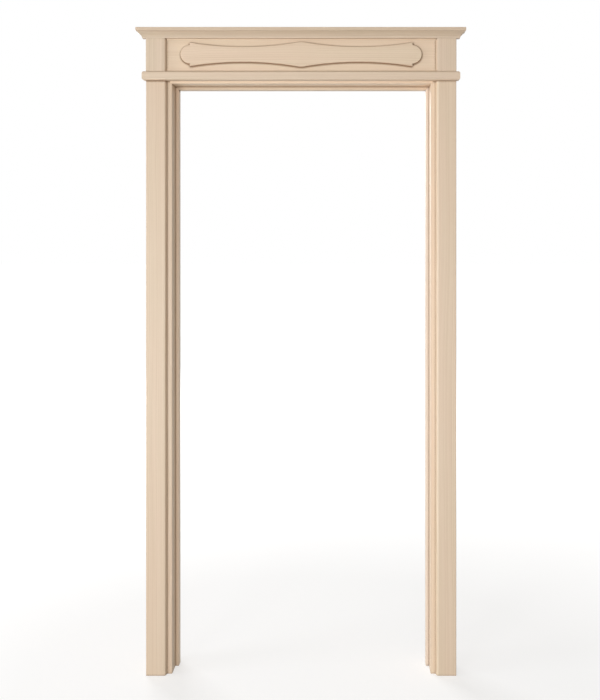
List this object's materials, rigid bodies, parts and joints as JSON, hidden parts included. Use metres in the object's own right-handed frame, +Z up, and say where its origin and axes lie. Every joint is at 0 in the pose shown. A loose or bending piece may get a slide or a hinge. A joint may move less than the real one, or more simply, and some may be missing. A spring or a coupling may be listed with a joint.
{
  "type": "door frame",
  "caption": "Pale wooden door frame with planted stops, flat leg casings and a crosshead with a scalloped frieze panel and a coved crown.",
  "frame": {"origin": "centre of the bounding box at floor level: middle of the doorway, half way through the whole depth", "axes": "+X to the right seen from the front, +Y from the front into the wall, +Z up"},
  "size_m": [1.19, 0.183, 2.3445],
  "materials": {
    "ash": "sanded pale ash with a clear matt lacquer",
    "beech": "plain turned beech",
    "zinc": "bright zinc plate"
  },
  "bodies": {
    "root": {"left_jamb": "ash", "right_jamb": "ash", "head_jamb": "ash", "left_stop": "ash", "right_stop": "ash", "head_stop": "ash", "left_casing": "ash", "right_casing": "ash", "astragal": "ash", "header_board": "ash", "left_header_block": "ash", "right_header_block": "ash", "scalloped_panel": "ash", "crown_front": "ash", "crown_left_return": "ash", "crown_right_return": "ash", "cap_board": "ash", "corner_screws": "zinc", "cap_screws": "zinc", "leg_dowels": "beech"}
  },
  "joints": []
}
